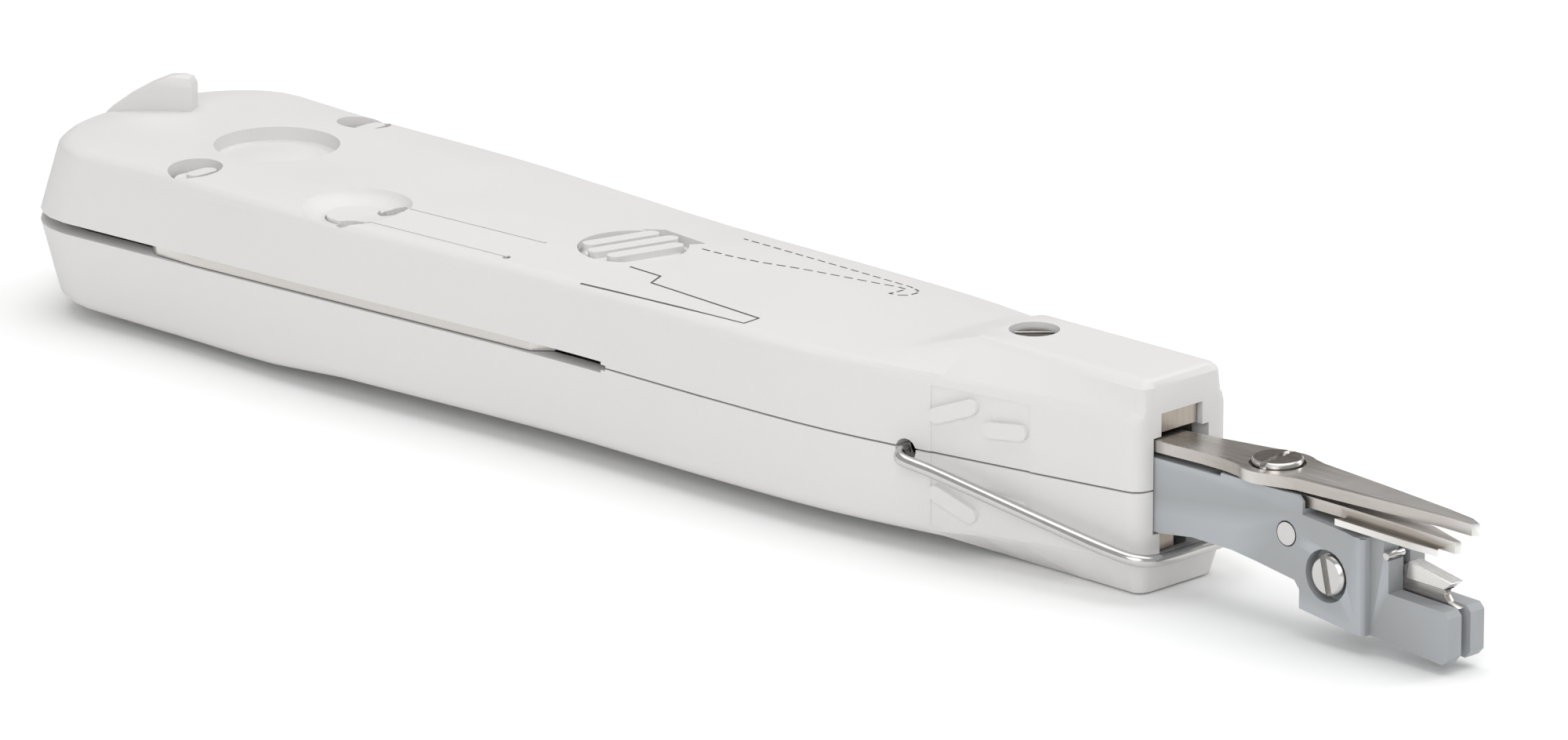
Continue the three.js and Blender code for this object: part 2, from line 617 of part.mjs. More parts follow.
function bottomShell() {
  const x = TOOL_PIVOT_X;
  const low = FLOOR - 0.5;
  let shell = cut(bottomOuter, hollow(-1, -FLOOR, -FRONT_FLOOR));
  const bosses = sides.map((s) => rod(TANG_R, x, s * TOOL_PIVOT_SIDE, low, -SLOT_HEIGHT / 2 - 0.1));
  const posts = [REAR_SCREW_X, MIDDLE_SCREW_X].map((px) => rod(3.4, px, 0, low, -SHELL_GAP / 2));
  const spine = box(REAR + 1, SPINE_FRONT, -SPINE_HALF, SPINE_HALF, low, -SHELL_GAP / 2);
  const frontBoss = rod(3.6, FRONT_SCREW_X, 0, FRONT_FLOOR - 0.5, GUIDE_BOTTOM - FIT_GAP);
  const springPad = rod(3.9, BUTTON_X, BUTTON_Y, low, FLOOR + 0.6);
  const stopPeg = rod(1.9, BUTTON_X, BUTTON_Y, low, BUTTON_SOCKET_TOP - BUTTON_TRAVEL - FIT_GAP);
  const inside = join(...bosses, ...posts, spine, frontBoss, springPad).intersect(bottomOuter).add(stopPeg);
  shell = join(cut(shell, ...sides.map(sidePad)), inside, ...nubs(-1));
  const wells = sides.map((s) => rod(PIVOT_PIN_R + FIT_GAP, x, s * TOOL_PIVOT_SIDE, FLOOR + 0.4, 1));
  const frontWell = join(
    rod(SCREW_HEAD_R + 0.2, FRONT_SCREW_X, 0, -FRONT_BOTTOM - 1, FRONT_FLOOR + 0.3),
    rod(SCREW_R + FIT_GAP, FRONT_SCREW_X, 0, -FRONT_BOTTOM, 0, 16),
  );
  return cut(shell, ...wells, frontWell, screwWell(REAR_SCREW_X, 0), screwWell(MIDDLE_SCREW_X, 0),
    ...toolSlot(), ...frontOpening(), bailHole());
}

// ---------------------------------------------------------------- folding blade and hook
function pivotPin(side) {
  const y = side * TOOL_PIVOT_SIDE;
  const foot = FLOOR + 0.5;
  const head = PIVOT_HEAD_Z;
  const pin = turned([[0, foot], [PIVOT_PIN_R, foot], [PIVOT_PIN_R, head], [PIVOT_HEAD_R, head],
    [PIVOT_HEAD_R, head + 0.7], [PIVOT_HEAD_R - 0.3, head + 1], [0, head + 1]], TOOL_PIVOT_X, y, 28);
  const x = TOOL_PIVOT_X;
  const key = plate([
    ...roundOutline(x + 0.9, y - 0.9, 0.8, 180, 360, 6),
    ...roundOutline(x + 0.9, y + 0.9, 0.8, 0, 180, 6),
  ], head + 0.9, head + 1.8);
  return join(pin, key);
}

const tangHole = (side) =>
  rod(PIVOT_PIN_R + 0.15, TOOL_PIVOT_X, side * TOOL_PIVOT_SIDE, -TOOL_THICK, TOOL_THICK);

function removalBlade() {
  const tip = TOOL_PIVOT_X + TOOL_LENGTH;
  const edge = (x) => -(sideHalf(x) - 0.35);
  const y = -TOOL_PIVOT_SIDE;
  const outline = [
    ...roundOutline(TOOL_PIVOT_X, y, TANG_R, 75, 255, 12),
    ...[0.08, 0.3, 0.55, 0.8].map((t) => TOOL_PIVOT_X + t * TOOL_LENGTH).map((x) => [x, edge(x)]),
    [tip - 1.8, edge(tip)],
    [tip, edge(tip) + 1.6],
    [tip, y + 4.4],
    [tip - 3.2, y + 4.9],
    [tip - 12, y + 4.6],
    [tip - 14, y + 4.1],
  ];
  const body = plate(outline, -TOOL_THICK / 2, TOOL_THICK / 2);
  const nick = rod(1.5, TOOL_PIVOT_X + 14, y + 4.6, -2, 2, 16);
  return cut(body, tangHole(-1), nick);
}

function wireHook() {
  const y = TOOL_PIVOT_SIDE;
  const tip = TOOL_PIVOT_X + TOOL_LENGTH;
  const outline = [
    ...roundOutline(TOOL_PIVOT_X, y, TANG_R, 60, 300, 14),
    [TOOL_PIVOT_X + 12, y - 2.1],
    [tip - 9, y - 2.4],
    [tip - 3.6, y - 4.6],
    ...roundOutline(tip - 1.8, y - 3.4, 1.8, -110, 60, 8),
    [tip - 2.6, y - 2.9],
    [tip - 3.6, y - 2.9],
    ...roundOutline(tip - 6.6, y - 0.9, 1.2, -60, -200, 6),
    [tip - 7.6, y + 0.3],
    [TOOL_PIVOT_X + 12, y + 2.4],
  ];
  return cut(plate(outline, -TOOL_THICK / 2, TOOL_THICK / 2), tangHole(1));
}

// A leaf that presses on the back of a folding tool, bent from a strip of spring steel.
function leafSpring(side) {
  const x = TOOL_PIVOT_X + TANG_R + 1.2;
  const thick = 0.35;
  const rise = [[0, 1.3], [3, 0.8], [6, 1.0], [9, 1.9], [13.5, 2.6]];
  const under = rise.map(([dx, z]) => [x + dx, z]);
  const over = rise.map(([dx, z]) => [x + dx, z + thick]).reverse();
  const y = side * (TOOL_PIVOT_SIDE - 3.4);
  return sidePlate([...under, ...over], y - 1.6, y + 1.6);
}

// ---------------------------------------------------------------- buttons
function releaseTongue() {
  const under = TOP_EDGE - TONGUE_THICK - 0.6;
  const blank = plate(tongueOutline(0, 0), under, TOP_EDGE + 2).intersect(topOuter);
  const peg = rod(1.2, BOWL_X, BOWL_Y, SLOT_HEIGHT / 2 + TONGUE_TRAVEL, TOP_EDGE - TONGUE_THICK, 16);
  return join(cut(blank, bowlHollow(BOWL_FLOOR + PAD_RISE), ...pits()), peg);
}

function ribbedButton() {
  const crown = TOP_EDGE + TOP_CROWN - 0.35;
  const flange = ROOF - 0.25;
  const body = turned([[0, flange - 1.4], [BUTTON_R + 0.9, flange - 1.4], [BUTTON_R + 0.9, flange - 0.3],
    [BUTTON_R, flange - 0.3], [BUTTON_R, crown - 0.4], [BUTTON_R - 0.4, crown], [0, crown]],
  BUTTON_X, BUTTON_Y, 36);
  const ribs = [-2.3, 0, 2.3].map((d) => {
    const length = Math.sqrt((BUTTON_R - RIB_R - 0.2) ** 2 - d * d);
    const bar = plate([
      ...roundOutline(d, -length, RIB_R, 180, 360, 8),
      ...roundOutline(d, length, RIB_R, 0, 180, 8),
    ], crown - 0.2, crown + 0.6);
    return bar.rotate([0, 0, RIB_TURN]).translate([BUTTON_X, BUTTON_Y, 0]);
  });
  const socket = rod(3.4, BUTTON_X, BUTTON_Y, flange - 2, BUTTON_SOCKET_TOP);
  return cut(join(body, ...ribs), socket);
}

function buttonSpring() {
  const foot = FLOOR + 0.6 + FIT_GAP;
  return coil([BUTTON_X, BUTTON_Y, foot], 'z', 2.6, 0.3, BUTTON_SOCKET_TOP - FIT_GAP - foot, 5);
}

// ---------------------------------------------------------------- screws
// A slotted screw standing on z. up is 1 for a head at the top and -1 for a head at the bottom.
function screw(x, y, seat, tip, headR, up, slotTurn) {
  const head = seat + up * SCREW_HEAD_H;
  const profile = [[0, tip], [SCREW_R - 0.1, tip], [SCREW_R - 0.1, seat], [headR, seat],
    [headR, head - up * 0.3], [headR - 0.3, head], [0, head]];
  const body = turned(up > 0 ? profile : profile.reverse(), 0, 0, 24);
  const slot = box(-headR - 1, headR + 1, -0.35, 0.35, head - 0.7, head + 0.7);
  return cut(body, slot.rotate([0, 0, slotTurn])).translate([x, y, 0]);
}

const frontScrewUpper = () =>
  screw(FRONT_SCREW_X, 0, UPPER_SCREW_SEAT, GUIDE_TOP - 0.7, SCREW_HEAD_R, 1, 45);
const frontScrewLower = () =>
  screw(FRONT_SCREW_X, 0, FRONT_FLOOR + 0.2, GUIDE_BOTTOM + 0.7, SCREW_HEAD_R, -1, 70);
const longScrew = (x, slotTurn) => screw(x, 0, FLOOR - 0.5, 3.6, SCREW_HEAD_R, -1, slotTurn);

// ---------------------------------------------------------------- steel guide frame
const GUIDE_HALF = ARM_HALF + RUN_GAP; // inside of the cheeks
const GUIDE_TOP = BLADE_TOP + 0.3 + GUIDE_SHEET;

function guideFrame() {
  const [near, far] = [HEAD_Y - GUIDE_HALF, HEAD_Y + GUIDE_HALF];
  const sheet = GUIDE_SHEET;
  const face = -0.5; // the front edge stands just behind the front face of the handle
  const web = box(GUIDE_REAR, GUIDE_FRONT, near - sheet, far + sheet, GUIDE_TOP - sheet, GUIDE_TOP);
  const cheeks = [
    box(GUIDE_REAR, GUIDE_FRONT, near - sheet, near, GUIDE_BOTTOM, GUIDE_TOP),
    box(GUIDE_REAR, GUIDE_FRONT, far, far + sheet, GUIDE_BOTTOM, GUIDE_TOP),
  ];
  const bridge = box(FRONT_SCREW_X - 4, FRONT_SCREW_X + 4, near - sheet, far + sheet, GUIDE_BOTTOM,
    GUIDE_BOTTOM + sheet);
  const upperLip = join(
    box(GUIDE_FRONT - 1, face, -2.9, 2.1, GUIDE_TOP - sheet, GUIDE_TOP),
    box(face - sheet, face, -2.9, 2.1, GUIDE_TOP - sheet, 6.85),
  );
  const lowerLip = join(
    box(GUIDE_FRONT - 4, GUIDE_FRONT, near - sheet, far + sheet, GUIDE_BOTTOM, GUIDE_BOTTOM + sheet),
    box(GUIDE_FRONT - 1, face - 1, -2.9, 0.3, GUIDE_BOTTOM, GUIDE_BOTTOM + sheet),
    box(face - 1 - sheet, face - 1, -2.9, 0.3, -6.5, GUIDE_BOTTOM + sheet),
  );
  const holes = [
    rod(SCREW_R, FRONT_SCREW_X, 0, 0, GUIDE_TOP + 1, 16),
    rod(SCREW_R, FRONT_SCREW_X, 0, GUIDE_BOTTOM - 1, 0, 16),
    rod(CAM_PIN_R, CAM_PIN_X, SCISSOR_Y, 0, GUIDE_TOP + 1, 16),
  ];
  return cut(join(web, ...cheeks, bridge, upperLip, lowerLip), ...holes);
}

const camPin = () => rod(CAM_PIN_R - 0.05, CAM_PIN_X, SCISSOR_Y, BLADE_TOP - BLADE_THICK - 0.05,
  GUIDE_TOP - 0.05, 16);

function springStop() {
  const x1 = SPRING_STOP_X;
  const half = sideHalf(x1) - WALL - 1.6;
  const body = box(x1 - 2.5, x1, -half, half, FLOOR + 0.1, ROOF - 0.1);
  return cut(body, longRod(ROD_R + RUN_GAP, HEAD_Y, 0, x1 - 4, x1 + 1));
}

const ROD_LENGTH = ARM_TAIL - SPRING_STOP_X + 7.5;
const springRod = () => longRod(ROD_R, HEAD_Y, 0, ARM_TAIL + 2.5 - ROD_LENGTH, ARM_TAIL + 2.4);
const returnSpring = () => coil([ARM_TAIL - FIT_GAP, HEAD_Y, 0], 'x', 2.3, 0.35,
  ARM_TAIL - SPRING_STOP_X - 2 * FIT_GAP, 7);

// ---------------------------------------------------------------- grey head
const ARM_NEAR = HEAD_Y - ARM_HALF;
const ARM_FAR = HEAD_Y + ARM_HALF;
const SPLIT = HEAD_Y - INSERT_THICK / 2 - 0.05; // near side of the gap that holds the insert
const SPLIT_FAR = HEAD_Y + INSERT_THICK / 2 + 0.05;
const SENSOR_X = BLOCK_FRONT + 2.0;
const BLOCK_EDGE = 0.5; // rounding of the block's upright corner

// Side outline of the arm, from its tail to the step in front of the block.
const ARM_SIDE = [
  [ARM_TAIL, ARM_BOTTOM],
  [0.8, ARM_BOTTOM],
  [4.6, -3.4],
  [9.4, -3.5],
  [12.5, -3.9],
  [17.0, -4.6],
  [BLOCK_REAR, -5.7],
  [BLOCK_REAR, ARM_TOP - 0.6],
  [BLOCK_REAR - 0.5, ARM_TOP - 0.1],
  [ARM_TAIL, ARM_TOP],
];

// Side outline of the block that the side screw goes into.
const BLOCK_SIDE = [
  [BLOCK_REAR - 0.3, -7.1],
  [BLOCK_FRONT, -8.1],
  [BLOCK_FRONT, 1.0],
  [BLOCK_FRONT - 1.2, 1.0],
  [BLOCK_FRONT - 2.2, 1.2],
  [BLOCK_REAR - 0.3, 1.7],
];

// The thinner part in front of it, with its upper ledge, and the prong.
const NECK_SIDE = [
  [BLOCK_REAR, -7.1],
  [BLOCK_FRONT + 0.5, -8.1],
  [BLOCK_FRONT + 2.1, -8.2],
  [BLOCK_FRONT + 2.1, -0.4],
  [BLOCK_FRONT + 1.5, -0.4],
  [BLOCK_FRONT + 1.5, 1.7],
  [BLOCK_FRONT - 0.1, 1.1],
  [BLOCK_REAR, 1.2],
];
const PRONG_SIDE = [
  [BLOCK_FRONT - 0.5, -8.1],
  [FORK_TIP - 0.6, -8.95],
  [FORK_TIP, -8.3],
  [FORK_TIP, -4.6],
  [FORK_TIP - 0.5, -4.05],
  [BLOCK_FRONT - 0.5, -3.7],
];

const forkNear = HEAD_Y - FORK_HALF;
const forkFar = HEAD_Y + FORK_HALF;

function headBody() {
  const arm = sidePlate(ARM_SIDE, ARM_NEAR, ARM_FAR);
  const block = sidePlate(BLOCK_SIDE, ARM_NEAR, SPLIT);
  const neck = sidePlate(NECK_SIDE, forkNear, SPLIT);
  const prong = sidePlate(PRONG_SIDE, forkNear, HEAD_Y - FORK_GAP / 2);
  const corner = box(BLOCK_FRONT - BLOCK_EDGE, BLOCK_FRONT + 1, ARM_NEAR - 1, ARM_NEAR + BLOCK_EDGE, -10, 3);
  const roundEdge = rod(BLOCK_EDGE, BLOCK_FRONT - BLOCK_EDGE, ARM_NEAR + BLOCK_EDGE, -8.05, 0.9, 20);
  const bladePocket = box(SCISSOR_X - 6, BLOCK_REAR + 1, SCISSOR_Y - LOWER_REAR_HALF - RUN_GAP, ARM_FAR + 1,
    BLADE_TOP - 2 * BLADE_THICK - 0.4, ARM_TOP + 1);
  const recess = crossRod(SCREW_HEAD_R + 0.35, SIDE_SCREW_X, SIDE_SCREW_Z, ARM_NEAR - 1, ARM_NEAR + 1.3, 28);
  const shank = crossRod(SCREW_R + FIT_GAP, SIDE_SCREW_X, SIDE_SCREW_Z, ARM_NEAR - 1, SPLIT + 1, 16);
  const rivet = crossRod(RIVET_R + FIT_GAP, RIVET_X, RIVET_Z, ARM_NEAR - 1, ARM_FAR + 1, 20);
  const tail = longRod(ROD_R + FIT_GAP, HEAD_Y, 0, ARM_TAIL - 1, ARM_TAIL + 2.5);
  const nutHole = rod(NUT_R + FIT_GAP, SCISSOR_X, SCISSOR_Y, ARM_BOTTOM - 1, NUT_TOP + FIT_GAP, 6);
  const pinHole = crossRod(SENSOR_R + FIT_GAP, SENSOR_X, SENSOR_Z, forkNear - 1, SPLIT + 1, 12);
  const camRoom = box(CAM_PIN_X - 2, CAM_PIN_X + HEAD_TRAVEL + 12, SCISSOR_Y - 3, SCISSOR_Y + 3,
    ARM_TOP - 0.4, ARM_TOP + 1);
  const joined = cut(join(arm, block, neck, prong), corner).add(roundEdge);
  const bore = rod(SCREW_R + 0.2, SCISSOR_X, SCISSOR_Y, -2, BLADE_TOP, 16);
  return cut(joined, bladePocket, recess, shank, rivet, tail, nutHole, pinHole, bore, camRoom);
}

function headClamp() {
  const inFront = (outline) => outline.map(([x, z]) => [Math.max(x, BLOCK_REAR + FIT_GAP), z]);
  const block = sidePlate(inFront(BLOCK_SIDE), SPLIT_FAR, ARM_FAR);
  const neck = sidePlate(inFront(NECK_SIDE), SPLIT_FAR, forkFar);
  const prong = sidePlate(PRONG_SIDE, HEAD_Y + FORK_GAP / 2, forkFar);
  const nutHole = crossRod(NUT_R + FIT_GAP, SIDE_SCREW_X, SIDE_SCREW_Z, ARM_FAR - NUT_H - 0.3, ARM_FAR + 1, 6);
  const shank = crossRod(SCREW_R + FIT_GAP, SIDE_SCREW_X, SIDE_SCREW_Z, SPLIT_FAR - 1, ARM_FAR + 1, 16);
  return cut(join(block, neck, prong), nutHole, shank);
}

function pushInsert() {
  const blade = sidePlate([
    [BLOCK_REAR + 0.6, -7.0],
    [32.6, -8.3],
    [32.9, -6.4],
    [32.9, -4.6],
    [33.9, -4.2],
    [32.7, -3.9],
    [32.2, -3.2],
    [32.4, -2.6],
    [33.4, -1.9],
    [28.2, -0.9],
    [27.4, -1.5],
    [BLOCK_REAR + 0.6, -1.5],
  ], HEAD_Y - INSERT_THICK / 2, HEAD_Y + INSERT_THICK / 2);
  const ridge = sidePlate([[27.9, -2.6], [32.4, -2.7], [33.4, -1.9], [28.2, -0.9]],
    HEAD_Y - 0.8, HEAD_Y + 0.8);
  const hole = crossRod(SCREW_R + FIT_GAP, SIDE_SCREW_X, SIDE_SCREW_Z, -3, 3, 16);
  return cut(join(blade, ridge), hole);
}

const sensorPin = () => crossRod(SENSOR_R, SENSOR_X, SENSOR_Z, forkNear - 0.3, SPLIT, 12);
const stopRivet = () => crossRod(RIVET_R, RIVET_X, RIVET_Z, ARM_NEAR - 0.05, ARM_FAR + 0.05, 20);

function sideScrew() {
  const seat = ARM_NEAR + 1.3 - 0.02;
  const made = screw(0, 0, -seat, -(ARM_FAR - 0.3), SCREW_HEAD_R - 0.15, 1, 103);
  return made.rotate([90, 0, 0]).translate([SIDE_SCREW_X, 0, SIDE_SCREW_Z]);
}

const nut = () => cut(rod(NUT_R, 0, 0, 0, NUT_H, 6), rod(SCREW_R, 0, 0, -1, NUT_H + 1, 16));
const sideNut = () => nut().rotate([90, 0, 0]).translate([SIDE_SCREW_X, ARM_FAR - 0.1, SIDE_SCREW_Z]);
const scissorNut = () => nut().translate([SCISSOR_X, SCISSOR_Y, NUT_TOP - NUT_H]);

// ---------------------------------------------------------------- scissors
// Where the fixed cam pin lies, seen from the upper blade, when the head has gone in by s.
function camPath(s) {
  const turn = rad((SCISSOR_SWING * s) / HEAD_TRAVEL);
  const dx = CAM_PIN_X - (SCISSOR_X - s);
  return [SCISSOR_X + dx * Math.cos(turn), SCISSOR_Y + dx * Math.sin(turn)];
}

function camSlot() {
  const stops = [-0.4, 1, 2, 3, 4, HEAD_TRAVEL + 0.4].map(camPath);
  const h = CAM_PIN_R + 0.25;
  const holes = stops.map(([x, y]) => rod(h, x, y, 0, BLADE_TOP + 1, 16));
  const bars = stops.slice(1).map(([x1, y1], i) => {
    const [x0, y0] = stops[i];
    return plate([[x0, y0 - h], [x1, y1 - h], [x1, y1 + h], [x0, y0 + h]], 0, BLADE_TOP + 1);
  });
  return join(...holes, ...bars);
}

function upperBlade() {
  const w = SCISSOR_HALF;
  const y = SCISSOR_Y;
  const outline = [
    [BLADE_TAIL, y - 1.9],
    [-1.5, y - UPPER_REAR_HALF],
    [5.5, y - 2.55],
    [SCISSOR_X - 4.0, y - 2.6],
    ...roundOutline(SCISSOR_X, y, w, 235, 292, 6),
    [SCISSOR_X + 4.4, y - 2.4],
    [25, y - 1.85],
    [SCISSOR_TIP - 4, y - 1.4],
    [SCISSOR_TIP - 0.4, y - 1.5],
    [SCISSOR_TIP, y - 0.9],
    [SCISSOR_TIP - 1.5, y - 0.1],
    [32.5, y + 0.5],
    [23, y + 1.8],
    [SCISSOR_X + 3.2, y + 2.7],
    ...roundOutline(SCISSOR_X, y, w, 60, 100, 5),
    [SCISSOR_X - 3.4, y + 2.9],
    [4.0, y + 1.9],
    [0, y + 1.3],
    [BLADE_TAIL, y + 1.5],
  ];
  const body = plate(outline, BLADE_TOP - BLADE_THICK, BLADE_TOP);
  const sink = turned([[0, 0], [SCREW_R + 0.15, 0], [SCREW_R + 0.15, BLADE_TOP - 0.45],
    [PIVOT_SCREW_R + 0.2, BLADE_TOP - 0.45], [PIVOT_SCREW_R + 0.35, BLADE_TOP + 1], [0, BLADE_TOP + 1]],
  SCISSOR_X, y, 32);
  const bevel = solid(new THREE.BoxGeometry(9, 6, 2));
  const facet = bevel.rotate([24, 0, 0]).translate([SCISSOR_TIP - 1.2, y - 2.2, BLADE_TOP + 0.8]);
  return cut(body, sink, camSlot(), facet);
}

function lowerBlade() {
  const y = SCISSOR_Y;
  const z1 = BLADE_TOP - BLADE_THICK - 0.3;
  const outline = [
    [SCISSOR_X - 5.2, y - 1.5],
    ...roundOutline(SCISSOR_X, y, 2.1, 215, 280, 4),
    [SCISSOR_X + 4.5, y - LOWER_REAR_HALF],
    [BLOCK_REAR + 4, y - 2.2],
    [31, y - 2.7],
    [SCISSOR_TIP - 0.9, y - 3.1],
    [SCISSOR_TIP - 0.6, y - 2.6],
    [32, y - 0.9],
    [24, y + 1.0],
    [SCISSOR_X + 5, y + 2.5],
    ...roundOutline(SCISSOR_X, y, 3.1, 50, 120, 5),
    [SCISSOR_X - 5.2, y + 2.2],
  ];
  const body = plate(outline, z1 - BLADE_THICK, z1);
  const under = plate([[BLOCK_REAR + 4, y - 3.0], [31, y - 3.5], [34.6, y - 3.5], [33, y - 1.4], [24, y - 0.4]],
    z1 - BLADE_THICK - 0.55, z1 - BLADE_THICK + 0.1);
  const hole = rod(SCREW_R + 0.15, SCISSOR_X, y, 0, BLADE_TOP, 16);
  return cut(join(body, under), hole);
}

function scissorScrew() {
  const seat = BLADE_TOP - 0.35;
  const made = turned([[0, NUT_TOP - 1.1], [SCREW_R - 0.1, NUT_TOP - 1.1], [SCREW_R - 0.1, seat],
    [PIVOT_SCREW_R, seat], [PIVOT_SCREW_R, seat + 0.75], [PIVOT_SCREW_R - 0.15, seat + 0.9],
    [0, seat + 0.9]], 0, 0, 32);
  const slot = box(-4, 4, -0.3, 0.3, seat + 0.35, seat + 2);
  return cut(made, slot.rotate([0, 0, 98])).translate([SCISSOR_X, SCISSOR_Y, 0]);
}

// ---------------------------------------------------------------- wire bail
function wireBail() {
  const side = (x) => sideHalf(x) + BAIL_GAP + WIRE_R;
  const fall = (x) => mix(BAIL_PIVOT_Z, BAIL_BEND_Z, (x - BAIL_PIVOT_X) / (BAIL_BEND_X - BAIL_PIVOT_X));
  const half = (s) => [
    [BAIL_PIVOT_X, s * (side(BAIL_PIVOT_X) - 2.2), BAIL_PIVOT_Z],
    [BAIL_PIVOT_X, s * (side(BAIL_PIVOT_X) - 0.7), BAIL_PIVOT_Z],
    [BAIL_PIVOT_X + 0.7, s * side(BAIL_PIVOT_X), BAIL_PIVOT_Z - 0.2],
    ...[-20.7, -11.1, BAIL_BEND_X].map((x) => [x, s * side(x), fall(x)]),
    [1.2, s * (side(0) - 0.8), BAIL_BAR_Z + 0.1],
    [BAIL_BAR_X, s * 4.6, BAIL_BAR_Z],
  ];
  const route = [...half(-1), [BAIL_BAR_X, 0, BAIL_BAR_Z], ...half(1).reverse()];
  return wire(route, WIRE_R, 56, 8);
}

// ---------------------------------------------------------------- materials
const material = (color, roughness, metalness) => new THREE.MeshStandardMaterial({ color, roughness, metalness });
const shellPlastic = material(0xe9e9e6, 0.55, 0);
const greyPlastic = material(0xa9afb4, 0.5, 0);
const steel = material(0xb9b6b0, 0.3, 1);
const springSteel = material(0x8f8d88, 0.35, 1);
const chrome = material(0xd8d8d8, 0.15, 1);

// ---------------------------------------------------------------- assembly
const PIECES = [
  ['top_shell', topShell, shellPlastic],
  ['bottom_shell', bottomShell, shellPlastic],
  ['release_tongue', releaseTongue, shellPlastic],
  ['ribbed_button', ribbedButton, shellPlastic],
  ['button_spring', buttonSpring, springSteel],
  ['front_screw_upper', frontScrewUpper, chrome],
  ['front_screw_lower', frontScrewLower, chrome],
  ['middle_screw', () => longScrew(MIDDLE_SCREW_X, 15), chrome],
  ['rear_screw', () => longScrew(REAR_SCREW_X, 110), chrome],
  ['blade_pivot_pin', () => pivotPin(-1), steel],
  ['hook_pivot_pin', () => pivotPin(1), steel],
  ['removal_blade', removalBlade, steel],
  ['wire_hook', wireHook, steel],
  ['blade_leaf_spring', () => leafSpring(-1), springSteel],
  ['hook_leaf_spring', () => leafSpring(1), springSteel],
  ['wire_bail', wireBail, chrome],
  ['guide_frame', guideFrame, steel],
  ['cam_pin', camPin, steel],
  ['spring_stop', springStop, shellPlastic],
  ['spring_rod', springRod, steel],
  ['return_spring', returnSpring, springSteel],
  ['head_body', headBody, greyPlastic],
  ['head_clamp', headClamp, greyPlastic],
  ['push_insert', pushInsert, steel],
  ['sensor_pin', sensorPin, steel],
  ['stop_rivet', stopRivet, steel],
  ['side_screw', sideScrew, chrome],
  ['side_nut', sideNut, steel],
  ['upper_blade', upperBlade, steel],
  ['lower_blade', lowerBlade, steel],
  ['scissor_screw', scissorScrew, chrome],
  ['scissor_nut', scissorNut, steel],
];

const group = new THREE.Group();
for (const [name, make, finish] of PIECES) {
  const mesh = new THREE.Mesh(geometryOf(make()), finish);
  mesh.name = name;
  group.add(mesh);
}

// The origin goes under the middle of the whole tool, on its lowest face.
const bounds = new THREE.Box3().setFromObject(group);
const middle = bounds.getCenter(new THREE.Vector3());
group.position.set(-middle.x, -middle.y, -bounds.min.z);
group.updateMatrixWorld(true);

export default group;
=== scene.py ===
# %% [markdown]
# # A punch down tool
# The real tool is a light plastic handle in two halves, with a steel and grey plastic head in front.
# Its shapes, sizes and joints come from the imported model. This lesson gives every piece that can be
# seen its rounded edges and its finish, and it adds the few things that are only printed or ground.

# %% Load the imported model
import math

import bpy
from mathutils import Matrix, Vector


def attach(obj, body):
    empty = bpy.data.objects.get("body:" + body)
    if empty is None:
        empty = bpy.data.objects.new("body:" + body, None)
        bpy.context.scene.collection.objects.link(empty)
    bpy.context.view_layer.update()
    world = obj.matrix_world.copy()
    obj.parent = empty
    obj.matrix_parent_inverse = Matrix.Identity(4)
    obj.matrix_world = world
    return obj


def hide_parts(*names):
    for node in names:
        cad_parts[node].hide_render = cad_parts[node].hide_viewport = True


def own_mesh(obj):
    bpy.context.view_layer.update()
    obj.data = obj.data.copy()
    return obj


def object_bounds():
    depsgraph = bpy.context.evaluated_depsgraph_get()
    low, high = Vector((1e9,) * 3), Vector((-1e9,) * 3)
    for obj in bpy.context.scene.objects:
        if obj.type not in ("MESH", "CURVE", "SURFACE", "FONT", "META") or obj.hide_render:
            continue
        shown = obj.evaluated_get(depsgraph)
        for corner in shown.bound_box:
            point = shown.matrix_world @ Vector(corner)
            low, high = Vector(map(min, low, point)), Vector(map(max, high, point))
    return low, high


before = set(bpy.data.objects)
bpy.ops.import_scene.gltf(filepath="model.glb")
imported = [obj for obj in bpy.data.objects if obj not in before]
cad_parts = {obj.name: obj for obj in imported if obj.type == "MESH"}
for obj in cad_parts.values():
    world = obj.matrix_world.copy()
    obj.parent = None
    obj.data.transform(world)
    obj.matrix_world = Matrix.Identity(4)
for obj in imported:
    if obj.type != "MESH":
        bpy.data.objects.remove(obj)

MM = 0.001
model_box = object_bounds()
print("the packed model spans", [tuple(round(v / MM, 1) for v in corner) for corner in model_box])

# %% [markdown]
# ## Camera
# A long lens flattens the view, so the handle hardly narrows with distance. The camera looks from
# the front right of the tool and a little from above. It is aimed by an azimuth and an elevation,
# because those two angles are easy to correct one at a time.

# %% Aim the camera
AZIMUTH = math.radians(44.66)
ELEVATION = math.radians(16.95)
CAMERA_DISTANCE = 1.177
FOCAL_LENGTH = 291.9
AIM_FROM_MIDDLE = Vector((1.9, 0, -1.09)) * MM
SENSOR_WIDTH = 36
SIGHT_LIMIT = 20

low, high = (Vector(corner) for corner in model_box)
aim = (low + high) / 2 + AIM_FROM_MIDDLE
away = Vector((
    math.sin(AZIMUTH) * math.cos(ELEVATION),
    -math.cos(AZIMUTH) * math.cos(ELEVATION),
    math.sin(ELEVATION),
))
camera_data = bpy.data.cameras.new("camera")
camera_data.lens = FOCAL_LENGTH
camera_data.sensor_width = SENSOR_WIDTH
camera_data.clip_end = SIGHT_LIMIT
camera = bpy.data.objects.new("camera", camera_data)
camera.location = aim + away * CAMERA_DISTANCE
camera.rotation_euler = (-away).to_track_quat("-Z", "Y").to_euler()
bpy.context.scene.collection.objects.link(camera)
bpy.context.scene.camera = camera
print("the camera stands at", tuple(round(v, 3) for v in camera.location))

# %% [markdown]
# ## Helpers for modelling
# Every operator works on what is selected, so each step starts by selecting exactly one piece.
# A finished piece stays at the origin, with its place in its mesh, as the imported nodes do.

